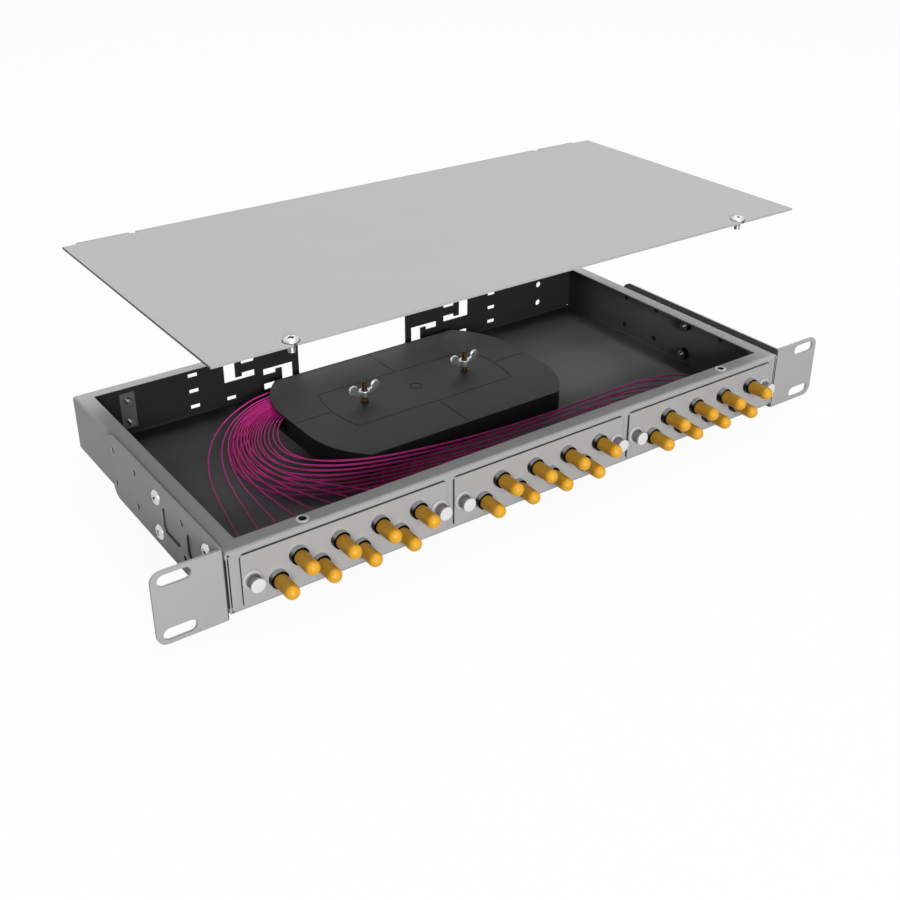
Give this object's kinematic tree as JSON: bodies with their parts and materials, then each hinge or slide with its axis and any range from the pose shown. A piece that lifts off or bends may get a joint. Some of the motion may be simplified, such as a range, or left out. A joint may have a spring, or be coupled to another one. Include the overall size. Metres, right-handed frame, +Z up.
{
  "type": "fibre patch panel",
  "caption": "Rack tray for fibre splices and couplers: folded tray with ears and a lift-off cover, pull-off caps, push latches, splice cassette and pigtails.",
  "frame": {"origin": "centre of the rack hole pattern, on the front face of the ears", "axes": "+X to the right seen from the front, +Y into the rack, +Z up"},
  "size_m": [0.4826, 0.234, 0.1432],
  "materials": {
    "grey_paint": "fine matt powder coat",
    "cover_paint": "fine matt powder coat",
    "zinc_steel": "bright zinc",
    "nickel_plate": "bright nickel",
    "plug_plastic": "satin",
    "latch_grey": "satin",
    "latch_white": "satin",
    "cap_amber": "soft gloss",
    "cassette_plastic": "fine matt grain",
    "brass": "dull brass",
    "holder_plastic": "satin",
    "splice_plastic": "clear shrink sleeve",
    "fibre_jacket": "satin"
  },
  "bodies": {
    "chassis": {"chassis_tray": "grey_paint", "bracket_left": "grey_paint", "bracket_right": "grey_paint", "bracket_screws": "zinc_steel", "bracket_nuts": "zinc_steel", "rear_nut_plate": "zinc_steel", "rear_screws": "zinc_steel", "rivet_nuts": "zinc_steel", "coupler_plate_left": "grey_paint", "coupler_plate_centre": "grey_paint", "coupler_plate_right": "grey_paint", "couplers_left": "nickel_plate", "couplers_centre": "nickel_plate", "couplers_right": "nickel_plate", "coupler_nuts": "nickel_plate", "pigtail_plugs": "plug_plastic", "latch_sleeves": "latch_grey", "cassette_base": "cassette_plastic", "cassette_studs": "brass", "splice_holders": "holder_plastic", "splice_sleeves": "splice_plastic", "pigtails_left": "fibre_jacket", "pigtails_centre": "fibre_jacket", "pigtails_right": "fibre_jacket"},
    "cover": {"cover": "cover_paint"},
    "cassette_lid": {"cassette_lid": "cassette_plastic"},
    "cover_screw_left": {"cover_screw_left": "zinc_steel"},
    "cover_screw_right": {"cover_screw_right": "zinc_steel"},
    "wing_nut_left": {"wing_nut_left": "zinc_steel"},
    "wing_nut_right": {"wing_nut_right": "zinc_steel"},
    "plunger_1": {"plunger_1": "latch_white"},
    "plunger_2": {"plunger_2": "latch_white"},
    "plunger_3": {"plunger_3": "latch_white"},
    "plunger_4": {"plunger_4": "latch_white"},
    "plunger_5": {"plunger_5": "latch_white"},
    "plunger_6": {"plunger_6": "latch_white"},
    "dust_cap_01": {"dust_cap_01": "cap_amber"},
    "dust_cap_02": {"dust_cap_02": "cap_amber"},
    "dust_cap_03": {"dust_cap_03": "cap_amber"},
    "dust_cap_04": {"dust_cap_04": "cap_amber"},
    "dust_cap_05": {"dust_cap_05": "cap_amber"},
    "dust_cap_06": {"dust_cap_06": "cap_amber"},
    "dust_cap_07": {"dust_cap_07": "cap_amber"},
    "dust_cap_08": {"dust_cap_08": "cap_amber"},
    "dust_cap_09": {"dust_cap_09": "cap_amber"},
    "dust_cap_10": {"dust_cap_10": "cap_amber"},
    "dust_cap_11": {"dust_cap_11": "cap_amber"},
    "dust_cap_12": {"dust_cap_12": "cap_amber"},
    "dust_cap_13": {"dust_cap_13": "cap_amber"},
    "dust_cap_14": {"dust_cap_14": "cap_amber"},
    "dust_cap_15": {"dust_cap_15": "cap_amber"},
    "dust_cap_16": {"dust_cap_16": "cap_amber"},
    "dust_cap_17": {"dust_cap_17": "cap_amber"},
    "dust_cap_18": {"dust_cap_18": "cap_amber"},
    "dust_cap_19": {"dust_cap_19": "cap_amber"},
    "dust_cap_20": {"dust_cap_20": "cap_amber"},
    "dust_cap_21": {"dust_cap_21": "cap_amber"},
    "dust_cap_22": {"dust_cap_22": "cap_amber"},
    "dust_cap_23": {"dust_cap_23": "cap_amber"},
    "dust_cap_24": {"dust_cap_24": "cap_amber"}
  },
  "joints": [
    {"name": "cover_lift", "type": "slide", "parent": "chassis", "child": "cover", "axis": [0, 0, 1], "range_m": [-0.0995, 0]},
    {"name": "cassette_lid_lift", "type": "slide", "parent": "chassis", "child": "cassette_lid", "axis": [0, 0, 1], "range_m": [0, 0.035]},
    {"name": "cover_screw_left_lift", "type": "slide", "parent": "cover", "child": "cover_screw_left", "axis": [0, 0, 1], "range_m": [0, 0.009]},
    {"name": "cover_screw_right_lift", "type": "slide", "parent": "cover", "child": "cover_screw_right", "axis": [0, 0, 1], "range_m": [0, 0.009]},
    {"name": "wing_nut_left_turn", "type": "hinge", "parent": "cassette_lid", "child": "wing_nut_left", "pos_m": [-0.035, 0.1387, 0.002], "axis": [0, 0, 1], "continuous": true},
    {"name": "wing_nut_right_turn", "type": "hinge", "parent": "cassette_lid", "child": "wing_nut_right", "pos_m": [0.0456, 0.1387, 0.002], "axis": [0, 0, 1], "continuous": true},
    {"name": "plunger_1_pull", "type": "slide", "parent": "chassis", "child": "plunger_1", "axis": [0, -1, 0], "range_m": [0, 0.005]},
    {"name": "plunger_2_pull", "type": "slide", "parent": "chassis", "child": "plunger_2", "axis": [0, -1, 0], "range_m": [0, 0.005]},
    {"name": "plunger_3_pull", "type": "slide", "parent": "chassis", "child": "plunger_3", "axis": [0, -1, 0], "range_m": [0, 0.005]},
    {"name": "plunger_4_pull", "type": "slide", "parent": "chassis", "child": "plunger_4", "axis": [0, -1, 0], "range_m": [0, 0.005]},
    {"name": "plunger_5_pull", "type": "slide", "parent": "chassis", "child": "plunger_5", "axis": [0, -1, 0], "range_m": [0, 0.005]},
    {"name": "plunger_6_pull", "type": "slide", "parent": "chassis", "child": "plunger_6", "axis": [0, -1, 0], "range_m": [0, 0.005]},
    {"name": "dust_cap_01_pull", "type": "slide", "parent": "chassis", "child": "dust_cap_01", "axis": [0, -1, 0], "range_m": [0, 0.014]},
    {"name": "dust_cap_02_pull", "type": "slide", "parent": "chassis", "child": "dust_cap_02", "axis": [0, -1, 0], "range_m": [0, 0.014]},
    {"name": "dust_cap_03_pull", "type": "slide", "parent": "chassis", "child": "dust_cap_03", "axis": [0, -1, 0], "range_m": [0, 0.014]},
    {"name": "dust_cap_04_pull", "type": "slide", "parent": "chassis", "child": "dust_cap_04", "axis": [0, -1, 0], "range_m": [0, 0.014]},
    {"name": "dust_cap_05_pull", "type": "slide", "parent": "chassis", "child": "dust_cap_05", "axis": [0, -1, 0], "range_m": [0, 0.014]},
    {"name": "dust_cap_06_pull", "type": "slide", "parent": "chassis", "child": "dust_cap_06", "axis": [0, -1, 0], "range_m": [0, 0.014]},
    {"name": "dust_cap_07_pull", "type": "slide", "parent": "chassis", "child": "dust_cap_07", "axis": [0, -1, 0], "range_m": [0, 0.014]},
    {"name": "dust_cap_08_pull", "type": "slide", "parent": "chassis", "child": "dust_cap_08", "axis": [0, -1, 0], "range_m": [0, 0.014]},
    {"name": "dust_cap_09_pull", "type": "slide", "parent": "chassis", "child": "dust_cap_09", "axis": [0, -1, 0], "range_m": [0, 0.014]},
    {"name": "dust_cap_10_pull", "type": "slide", "parent": "chassis", "child": "dust_cap_10", "axis": [0, -1, 0], "range_m": [0, 0.014]},
    {"name": "dust_cap_11_pull", "type": "slide", "parent": "chassis", "child": "dust_cap_11", "axis": [0, -1, 0], "range_m": [0, 0.014]},
    {"name": "dust_cap_12_pull", "type": "slide", "parent": "chassis", "child": "dust_cap_12", "axis": [0, -1, 0], "range_m": [0, 0.014]},
    {"name": "dust_cap_13_pull", "type": "slide", "parent": "chassis", "child": "dust_cap_13", "axis": [0, -1, 0], "range_m": [0, 0.014]},
    {"name": "dust_cap_14_pull", "type": "slide", "parent": "chassis", "child": "dust_cap_14", "axis": [0, -1, 0], "range_m": [0, 0.014]},
    {"name": "dust_cap_15_pull", "type": "slide", "parent": "chassis", "child": "dust_cap_15", "axis": [0, -1, 0], "range_m": [0, 0.014]},
    {"name": "dust_cap_16_pull", "type": "slide", "parent": "chassis", "child": "dust_cap_16", "axis": [0, -1, 0], "range_m": [0, 0.014]},
    {"name": "dust_cap_17_pull", "type": "slide", "parent": "chassis", "child": "dust_cap_17", "axis": [0, -1, 0], "range_m": [0, 0.014]},
    {"name": "dust_cap_18_pull", "type": "slide", "parent": "chassis", "child": "dust_cap_18", "axis": [0, -1, 0], "range_m": [0, 0.014]},
    {"name": "dust_cap_19_pull", "type": "slide", "parent": "chassis", "child": "dust_cap_19", "axis": [0, -1, 0], "range_m": [0, 0.014]},
    {"name": "dust_cap_20_pull", "type": "slide", "parent": "chassis", "child": "dust_cap_20", "axis": [0, -1, 0], "range_m": [0, 0.014]},
    {"name": "dust_cap_21_pull", "type": "slide", "parent": "chassis", "child": "dust_cap_21", "axis": [0, -1, 0], "range_m": [0, 0.014]},
    {"name": "dust_cap_22_pull", "type": "slide", "parent": "chassis", "child": "dust_cap_22", "axis": [0, -1, 0], "range_m": [0, 0.014]},
    {"name": "dust_cap_23_pull", "type": "slide", "parent": "chassis", "child": "dust_cap_23", "axis": [0, -1, 0], "range_m": [0, 0.014]},
    {"name": "dust_cap_24_pull", "type": "slide", "parent": "chassis", "child": "dust_cap_24", "axis": [0, -1, 0], "range_m": [0, 0.014]}
  ]
}
